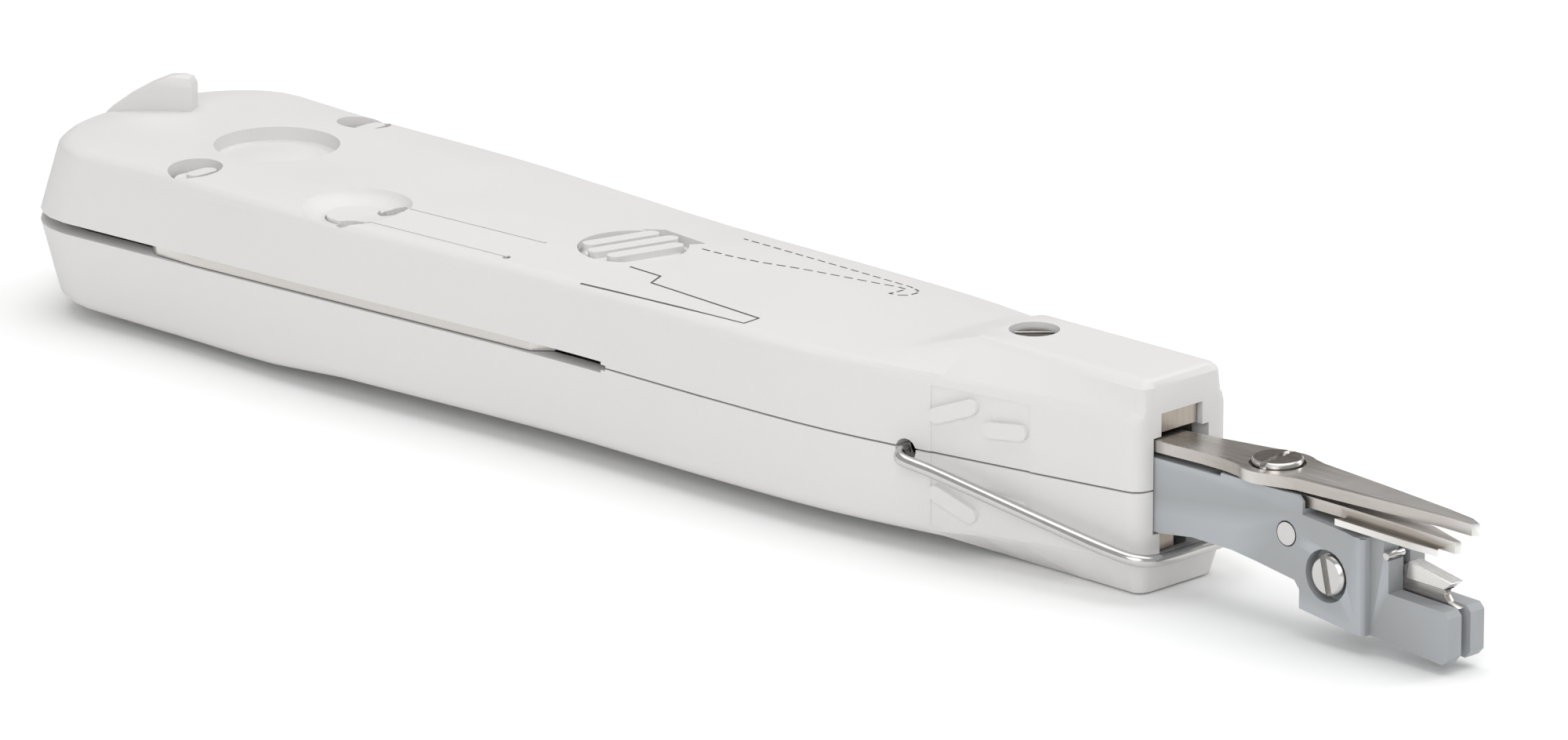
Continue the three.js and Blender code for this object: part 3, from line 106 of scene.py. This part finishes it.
# %% Select one piece and apply a modifier
def select_only(piece):
    if bpy.context.object and bpy.context.object.mode != "OBJECT":
        bpy.ops.object.mode_set(mode="OBJECT")
    bpy.ops.object.select_all(action="DESELECT")
    piece.select_set(True)
    bpy.context.view_layer.objects.active = piece


def apply_modifier(piece, kind, **settings):
    select_only(piece)
    modifier = piece.modifiers.new(kind.lower(), kind)
    for key, value in settings.items():
        setattr(modifier, key, value)
    bpy.ops.object.modifier_apply(modifier=modifier.name)


def smooth_below(piece, degrees):
    select_only(piece)
    bpy.ops.object.shade_smooth_by_angle(angle=math.radians(degrees))

# %% [markdown]
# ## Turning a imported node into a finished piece
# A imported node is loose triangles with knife-sharp edges. A real moulded or ground edge is never
# that sharp: it catches a thin line of light. So a copy is merged, its flat faces are joined up
# again, and a narrow bevel is run along every edge that is sharper than a given angle.

# %% Make a finished copy
MERGE_DISTANCE = 0.002 * MM
FLAT_WITHIN = math.radians(0.6)
SHARP_ANGLE = 32
BEVEL_SEGMENTS = 2


def merged_copy(node, name):
    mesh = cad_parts[node].data.copy()
    mesh.materials.clear()
    piece = bpy.data.objects.new(name, mesh)
    bpy.context.scene.collection.objects.link(piece)
    select_only(piece)
    bpy.ops.object.mode_set(mode="EDIT")
    bpy.ops.mesh.select_all(action="SELECT")
    bpy.ops.mesh.remove_doubles(threshold=MERGE_DISTANCE)
    bpy.ops.mesh.customdata_custom_splitnormals_clear()
    bpy.ops.mesh.dissolve_limited(angle_limit=FLAT_WITHIN)
    bpy.ops.object.mode_set(mode="OBJECT")
    return piece


def put_in_place(piece, node, body, material):
    piece.data.materials.append(material)
    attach(piece, body)
    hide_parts(node)
    print(piece.name, len(piece.data.polygons), "faces")
    return piece


def finished(node, name, body, material, edge):
    piece = merged_copy(node, name)
    if edge:
        apply_modifier(piece, "BEVEL", width=edge * MM, segments=BEVEL_SEGMENTS, limit_method="ANGLE",
                       angle_limit=math.radians(SHARP_ANGLE), use_clamp_overlap=True)
    smooth_below(piece, SHARP_ANGLE)
    apply_modifier(piece, "WEIGHTED_NORMAL", keep_sharp=True)
    return put_in_place(piece, node, body, material)

# %% [markdown]
# ## Shared surface effects
# Several finishes need the same small effects: the fine grain of a mould, the lines left by a
# grinding belt, and a painted highlight, a brighter line along every convex edge. Each is a node
# group, built once, that puts out a value or a normal. The shader itself stays in each material.

# %% A helper that builds a node group
def new_group(name, inputs, outputs):
    group = bpy.data.node_groups.new(name, "ShaderNodeTree")
    for label, kind, value in inputs:
        socket = group.interface.new_socket(label, in_out="INPUT", socket_type=kind)
        if value is not None:
            socket.default_value = value
    for label, kind in outputs:
        group.interface.new_socket(label, in_out="OUTPUT", socket_type=kind)
    return group, group.nodes.new("NodeGroupInput"), group.nodes.new("NodeGroupOutput")


VECTOR, FLOAT = "NodeSocketVector", "NodeSocketFloat"


def add_node(tree, kind, **sockets):
    node = tree.nodes.new(kind)
    for key, value in sockets.items():
        node.inputs[key.replace("_", " ")].default_value = value
    return node

# %% Fine grain of a mould
grain, grain_in, grain_out = new_group(
    "mould_grain",
    [("Position", VECTOR, None), ("Scale", FLOAT, 3500.0), ("Depth", FLOAT, 0.000012)],
    [("Normal", VECTOR), ("Tone", FLOAT)],
)
speckle = add_node(grain, "ShaderNodeTexNoise", Detail=3.0, Roughness=0.6)
grain_bump = add_node(grain, "ShaderNodeBump", Strength=1.0)
grain.links.new(grain_in.outputs["Position"], speckle.inputs["Vector"])
grain.links.new(grain_in.outputs["Scale"], speckle.inputs["Scale"])
grain.links.new(speckle.outputs["Fac"], grain_bump.inputs["Height"])
grain.links.new(grain_in.outputs["Depth"], grain_bump.inputs["Distance"])
grain.links.new(grain_bump.outputs["Normal"], grain_out.inputs["Normal"])
grain.links.new(speckle.outputs["Fac"], grain_out.inputs["Tone"])
print("built", grain.name)

# %% Lines left by a grinding belt
belt, belt_in, belt_out = new_group(
    "belt_lines",
    [("Position", VECTOR, None), ("Stretch", VECTOR, (0.04, 1.0, 1.0)), ("Scale", FLOAT, 5000.0),
     ("Depth", FLOAT, 0.00001)],
    [("Normal", VECTOR), ("Tone", FLOAT)],
)
stretched = belt.nodes.new("ShaderNodeVectorMath")
stretched.operation = "MULTIPLY"
lines = add_node(belt, "ShaderNodeTexNoise", Detail=4.0, Roughness=0.65)
belt_bump = add_node(belt, "ShaderNodeBump", Strength=1.0)
belt.links.new(belt_in.outputs["Position"], stretched.inputs[0])
belt.links.new(belt_in.outputs["Stretch"], stretched.inputs[1])
belt.links.new(stretched.outputs["Vector"], lines.inputs["Vector"])
belt.links.new(belt_in.outputs["Scale"], lines.inputs["Scale"])
belt.links.new(lines.outputs["Fac"], belt_bump.inputs["Height"])
belt.links.new(belt_in.outputs["Depth"], belt_bump.inputs["Distance"])
belt.links.new(belt_bump.outputs["Normal"], belt_out.inputs["Normal"])
belt.links.new(lines.outputs["Fac"], belt_out.inputs["Tone"])
print("built", belt.name)

# %% Painted highlight along convex edges
painted_highlight, painted_highlight_in, painted_highlight_out = new_group(
    "painted_edge_highlight",
    [("From", FLOAT, 0.51), ("To", FLOAT, 0.60)],
    [("Mask", FLOAT)],
)
# Pointiness is high on convex edges, so this mask marks where a highlight is painted.
geometry = painted_highlight.nodes.new("ShaderNodeNewGeometry")
edge_range = painted_highlight.nodes.new("ShaderNodeMapRange")
painted_highlight.links.new(geometry.outputs["Pointiness"], edge_range.inputs["Value"])
painted_highlight.links.new(painted_highlight_in.outputs["From"], edge_range.inputs["From Min"])
painted_highlight.links.new(painted_highlight_in.outputs["To"], edge_range.inputs["From Max"])
painted_highlight.links.new(edge_range.outputs["Result"], painted_highlight_out.inputs["Mask"])
print("built", painted_highlight.name)

# %% [markdown]
# ## Finishes
# Plastics get a grain and a soft mottling of the colour; the grey one gets a painted edge highlight.
# Ground and sheet steel get belt lines that change both how rough and how bright they are; plated
# steel and wire keep the fine grain. Everything reads Object coordinates, which are metres here, so
# a noise scale of 4000 makes marks about a quarter of a millimetre wide.

# %% A helper that lays out a material
NOISE_SUM_LOW = 0.6
NOISE_SUM_HIGH = 1.4
MOTTLE_DETAIL = 3.0


def spread_over(tree, noise_sum, low_end, high_end):
    spread = tree.nodes.new("ShaderNodeMapRange")
    spread.inputs["From Min"].default_value = NOISE_SUM_LOW
    spread.inputs["From Max"].default_value = NOISE_SUM_HIGH
    spread.inputs["To Min"].default_value = low_end
    spread.inputs["To Max"].default_value = high_end
    tree.links.new(noise_sum.outputs["Value"], spread.inputs["Value"])
    return spread.outputs["Result"]


def finish(name, base, roughness, metallic=0.0, effect=None, edge=None, highlight_color=None,
           tone=0.03, rough_span=0.08, mottle_scale=120.0, **effect_values):
    material = bpy.data.materials.new(name)
    material.use_nodes = True
    tree = material.node_tree
    shader = tree.nodes["Principled BSDF"]
    shader.inputs["Metallic"].default_value = metallic
    place = tree.nodes.new("ShaderNodeTexCoord")
    effect_node = tree.nodes.new("ShaderNodeGroup")
    effect_node.node_tree = effect
    for key, value in effect_values.items():
        effect_node.inputs[key].default_value = value
    tree.links.new(place.outputs["Object"], effect_node.inputs["Position"])
    tree.links.new(effect_node.outputs["Normal"], shader.inputs["Normal"])

    mottle = add_node(tree, "ShaderNodeTexNoise", Scale=mottle_scale, Detail=MOTTLE_DETAIL)
    tree.links.new(place.outputs["Object"], mottle.inputs["Vector"])
    both = tree.nodes.new("ShaderNodeMath")
    both.operation = "ADD"
    tree.links.new(effect_node.outputs["Tone"], both.inputs[0])
    tree.links.new(mottle.outputs["Fac"], both.inputs[1])

    shade = spread_over(tree, both, 1.0 - tone, 1.0 + tone)
    color = tree.nodes.new("ShaderNodeVectorMath")
    color.operation = "SCALE"
    color.inputs[0].default_value = base
    tree.links.new(shade, color.inputs["Scale"])
    base_socket = color.outputs["Vector"]
    # A painted highlight: a lighter colour mixed in where Pointiness finds a convex edge.
    if edge:
        highlight_mask = tree.nodes.new("ShaderNodeGroup")
        highlight_mask.node_tree = painted_highlight
        highlight_mask.inputs["From"].default_value, highlight_mask.inputs["To"].default_value = edge
        blend = tree.nodes.new("ShaderNodeMix")
        blend.data_type = "RGBA"
        blend.inputs["B"].default_value = (*highlight_color, 1.0)
        tree.links.new(highlight_mask.outputs["Mask"], blend.inputs["Factor"])
        tree.links.new(base_socket, blend.inputs["A"])
        base_socket = blend.outputs["Result"]
    tree.links.new(base_socket, shader.inputs["Base Color"])

    rough = spread_over(tree, both, roughness - rough_span, roughness + rough_span)
    tree.links.new(rough, shader.inputs["Roughness"])
    return material

# %% The plastics
white_plastic = finish("white_plastic", (0.70, 0.692, 0.683), 0.55, effect=grain, tone=0.012,
                       Scale=3200.0, Depth=0.000014, mottle_scale=60.0)
# The grey plastic's lighter edge colour is a painted highlight along its convex edges.
grey_plastic = finish("grey_plastic", (0.325, 0.335, 0.343), 0.5, effect=grain, tone=0.04,
                      edge=(0.51, 0.62), highlight_color=(0.42, 0.44, 0.46), Scale=4200.0, Depth=0.000010)
ink = finish("printed_ink", (0.075, 0.075, 0.08), 0.6, effect=grain, Scale=3000.0, Depth=0.000002)
print("plastics and ink:", white_plastic.name, grey_plastic.name, ink.name)

# %% The metals
# Ground and blade steel have their convex edges painted near-white: a painted highlight.
ground_steel = finish("ground_steel", (0.50, 0.475, 0.445), 0.27, metallic=1.0, effect=belt, tone=0.16,
                      Stretch=(0.03, 1.0, 1.0), Scale=4200.0, Depth=0.000008,
                      edge=(0.52, 0.60), highlight_color=(0.92, 0.91, 0.89))
blade_steel = finish("blade_steel", (0.37, 0.335, 0.30), 0.30, metallic=1.0, effect=belt, tone=0.22,
                     Stretch=(0.03, 1.0, 1.0), Scale=3600.0, Depth=0.000008,
                     edge=(0.515, 0.58), highlight_color=(0.88, 0.87, 0.85))
sheet_steel = finish("sheet_steel", (0.44, 0.39, 0.34), 0.36, metallic=1.0, effect=belt, tone=0.22,
                     Stretch=(1.0, 1.0, 0.05), Scale=2600.0, Depth=0.000010)
bright_plate = finish("bright_plate", (0.60, 0.59, 0.575), 0.2, metallic=1.0, effect=grain, tone=0.03,
                      rough_span=0.05, Scale=1500.0, Depth=0.000003)
drawn_wire = finish("drawn_wire", (0.50, 0.49, 0.48), 0.30, metallic=1.0, effect=grain, tone=0.08,
                    Scale=2500.0, Depth=0.000004)
print("metals:", ground_steel.name, blade_steel.name, sheet_steel.name, bright_plate.name, drawn_wire.name)

# %% [markdown]
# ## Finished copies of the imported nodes
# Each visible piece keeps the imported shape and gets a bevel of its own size, from 0.07 mm on the
# screws to 0.2 mm on the head and the folding tools. A few hidden pieces, listed further down, keep
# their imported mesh. The widths below are in millimetres.

# %% Handle shells and buttons
SHELL_EDGE = 0.15
TONGUE_EDGE = 0.12
PIN_EDGE = 0.2
top_cover = finished("top_shell", "top_cover", "handle", white_plastic, edge=SHELL_EDGE)
finished("bottom_shell", "bottom_cover", "handle", white_plastic, edge=SHELL_EDGE)
finished("release_tongue", "finger_tongue", "release_tongue", white_plastic,
         edge=TONGUE_EDGE)
finished("ribbed_button", "thumb_button", "ribbed_button", white_plastic,
         edge=SHELL_EDGE)
for side in ("blade", "hook"):
    finished(f"{side}_pivot_pin", f"{side}_pin_head", "handle", white_plastic,
             edge=PIN_EDGE)

# %% Head
GREY_EDGE = 0.2
GROUND_EDGE = 0.12
finished("head_body", "head_arm", "head", grey_plastic, edge=GREY_EDGE)
finished("head_clamp", "head_far_half", "head", grey_plastic, edge=GREY_EDGE)
finished("push_insert", "steel_insert", "head", ground_steel, edge=GROUND_EDGE)
finished("upper_blade", "scissor_top_blade", "scissor_blade", blade_steel,
         edge=GROUND_EDGE)
finished("lower_blade", "scissor_under_blade", "head", blade_steel, edge=GROUND_EDGE)

# %% Folding tools, guide frame and fasteners
FOLDING_EDGE = 0.2
SHEET_EDGE = 0.1
SCREW_EDGE = 0.07
FASTENERS = {
    "front_screw_upper": "handle", "front_screw_lower": "handle", "middle_screw": "handle",
    "rear_screw": "handle", "side_screw": "head", "scissor_screw": "head", "stop_rivet": "head",
    "sensor_pin": "head",
}
finished("removal_blade", "folding_blade", "removal_blade", blade_steel, edge=FOLDING_EDGE)
finished("wire_hook", "folding_hook", "wire_hook", blade_steel, edge=FOLDING_EDGE)
finished("guide_frame", "bent_guide_frame", "handle", sheet_steel, edge=SHEET_EDGE)
for node, body in FASTENERS.items():
    finished(node, f"bright_{node}", body, bright_plate, edge=SCREW_EDGE)

# %% Bent wire
WIRE_LEVELS = 2
WIRE_SMOOTH_ANGLE = 60


def rounded_wire(node, name, body, material):
    piece = merged_copy(node, name)
    apply_modifier(piece, "SUBSURF", levels=WIRE_LEVELS, render_levels=WIRE_LEVELS)
    smooth_below(piece, WIRE_SMOOTH_ANGLE)
    return put_in_place(piece, node, body, material)


rounded_wire("wire_bail", "bright_wire_bail", "wire_bail", bright_plate)

# %% [markdown]
# ## The two coil springs
# A coil spring gets shorter when the piece that it pushes on moves. Here each spring gets the drawn
# wire finish and a mesh of its own, and keeps its imported length.

# %% Coil springs with a mesh of their own
def squeezed_spring(node, name):
    spring = finished(node, name, "handle", drawn_wire, edge=0)
    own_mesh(spring)


squeezed_spring("return_spring", "head_spring")
squeezed_spring("button_spring", "thumb_spring")

# %% [markdown]
# ## The two printed outlines
# The top face shows where the folding tools are: the blade in a solid line and the hook in dashes.
# A stroke of ink is a flat strip. The strips are laid over the face, joined, and then dropped onto
# the plastic, so that they follow its crown.

# %% Lay strokes along a path and drop them onto the top
INK_WIDTH = 0.2 * MM
INK_LIFT = 0.02 * MM
STROKE_OVERLAP = 0.6
TINY = 1e-7


def strokes_along(points, dash, gap):
    corners = [Vector(p) * MM for p in points]
    left = dash
    drawing = True
    for start, end in zip(corners, corners[1:]):
        run = end - start
        done = 0.0
        while run.length - done > TINY:
            step = min(left, run.length - done)
            if drawing:
                yield start + run * (done / run.length), start + run * ((done + step) / run.length)
            done += step
            left -= step
            if left < TINY:
                drawing = not drawing or gap == 0
                left = dash if drawing else gap


def print_outline(name, points, dash, gap):
    strips = []
    for start, end in strokes_along(points, dash * MM, gap * MM):
        run = end - start
        middle = (start + end) / 2
        bpy.ops.mesh.primitive_plane_add(size=1, location=(middle.x, middle.y, high.z),
                                         rotation=(0, 0, math.atan2(run.y, run.x)))
        strip = bpy.context.object
        strip.scale = (run.length + STROKE_OVERLAP * INK_WIDTH, INK_WIDTH, 1)
        strips.append(strip)
    bpy.ops.object.select_all(action="DESELECT")
    for strip in strips:
        strip.select_set(True)
    bpy.context.view_layer.objects.active = strips[0]
    bpy.ops.object.join()
    outline = bpy.context.object
    outline.name = name
    bpy.ops.object.transform_apply(location=True, rotation=True, scale=True)
    apply_modifier(outline, "SHRINKWRAP", target=top_cover, wrap_method="PROJECT", use_project_z=True,
                   use_negative_direction=True, use_positive_direction=False, offset=INK_LIFT)
    outline.data.materials.append(ink)
    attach(outline, "handle")
    print(name, len(strips), "strokes")


BLADE_OUTLINE = [
    (-12.4, -5.8), (-8.3, -5.95), (-7.65, -7.8), (7.2, -8.65), (7.0, -10.4), (-13.1, -11.55),
]
HOOK_OUTLINE = [
    (-11.6, 2.9), (-8.1, 3.05), (-4.7, 3.6), (-1.7, 4.4), (1.4, 5.2), (4.5, 5.95), (7.5, 6.7), (9.7, 7.3),
    (10.6, 7.2), (10.8, 5.7), (10.8, 4.8), (11.7, 5.0), (12.3, 5.8), (12.2, 7.0), (11.6, 7.8), (10.2, 8.3),
    (8.2, 8.35), (-11.7, 8.5),
]
SOLID_STROKE = 1.6
NO_GAP = 0
HOOK_DASH = 0.85
HOOK_GAP = 0.6
print_outline("blade_print", BLADE_OUTLINE, SOLID_STROKE, NO_GAP)
print_outline("hook_print", HOOK_OUTLINE, HOOK_DASH, HOOK_GAP)

# %% [markdown]
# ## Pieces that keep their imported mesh
# These pieces are hidden while the tool is together. They need no bevel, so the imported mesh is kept
# and only gets its material.

# %% Give the hidden pieces their material
KEPT = {
    ground_steel: ["cam_pin", "spring_rod", "side_nut", "scissor_nut"],
    drawn_wire: ["blade_leaf_spring", "hook_leaf_spring"],
    white_plastic: ["spring_stop"],
}
for material, nodes in KEPT.items():
    for node in nodes:
        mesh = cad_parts[node].data
        mesh.materials.clear()
        mesh.materials.append(material)
print("kept nodes:", sum(len(nodes) for nodes in KEPT.values()))

# %% [markdown]
# ## Floor and light
# A pale floor and three soft lights, as on a product table. The big one hangs over the tool, one
# fills the near side, and a small one behind gives the metal an edge to reflect. A dark card stands
# behind the tool, opposite the camera, because polished steel needs something dark to mirror.

# %% Floor
FLOOR_SIZE = 6.0
FLOOR_GAP = 0.02 * MM
FLOOR_COLOR = (0.97, 0.97, 0.97, 1)
FLOOR_ROUGHNESS = 0.8
FLOOR_SHINE = 0.2


def plain_paint(name, color, roughness):
    paint = bpy.data.materials.new(name)
    paint.use_nodes = True
    shader = paint.node_tree.nodes["Principled BSDF"]
    shader.inputs["Base Color"].default_value = color
    shader.inputs["Roughness"].default_value = roughness
    return paint, shader


bpy.ops.mesh.primitive_plane_add(size=FLOOR_SIZE, location=(0, 0, low.z - FLOOR_GAP))
floor = bpy.context.object
floor.name = "floor"
floor_paint, floor_shader = plain_paint("floor_paint", FLOOR_COLOR, FLOOR_ROUGHNESS)
floor_shader.inputs["Specular IOR Level"].default_value = FLOOR_SHINE
floor.data.materials.append(floor_paint)
print("the floor lies", FLOOR_GAP / MM, "mm under the tool")

# %% Lights
LIGHTS = {
    "overhead": {"place": (0.0, 0.15, 0.9), "size": 1.4, "power": 6.8},
    "near_fill": {"place": (0.5, -0.8, 0.45), "size": 0.7, "power": 3.2},
    "rear_edge": {"place": (0.3, 0.7, 0.35), "size": 0.3, "power": 1.0},
}


def soft_light(name, place, size, power):
    data = bpy.data.lights.new(name, "AREA")
    data.shape = "DISK"
    data.size = size
    data.energy = power
    lamp = bpy.data.objects.new(name, data)
    lamp.location = place
    lamp.rotation_euler = (aim - Vector(place)).to_track_quat("-Z", "Y").to_euler()
    bpy.context.scene.collection.objects.link(lamp)


for name, values in LIGHTS.items():
    soft_light(name, **values)
print("lights:", list(LIGHTS))

# %% Dark card
CARD_PLACE = (-0.62, 0.62, 0.27)
CARD_TURN = (math.radians(90), 0, math.radians(45))
CARD_SCALE = (0.9, 0.26, 1)
CARD_COLOR = (0.10, 0.08, 0.065, 1)
CARD_ROUGHNESS = 0.9
bpy.ops.mesh.primitive_plane_add(size=1, location=CARD_PLACE, rotation=CARD_TURN)
card = bpy.context.object
card.name = "dark_card"
card.scale = CARD_SCALE
card_paint = plain_paint("card_paint", CARD_COLOR, CARD_ROUGHNESS)[0]
card.data.materials.append(card_paint)
print("the card is", CARD_SCALE[0], "by", CARD_SCALE[1], "m")

# %% Sky
SKY_COLOR = (1, 1, 1, 1)
SKY_STRENGTH = 0.5
world = bpy.data.worlds.new("studio")
world.use_nodes = True
world.node_tree.nodes["Background"].inputs["Color"].default_value = SKY_COLOR
world.node_tree.nodes["Background"].inputs["Strength"].default_value = SKY_STRENGTH
bpy.context.scene.world = world
bpy.context.scene.view_settings.view_transform = "Standard"
print("the sky has a strength of", SKY_STRENGTH)
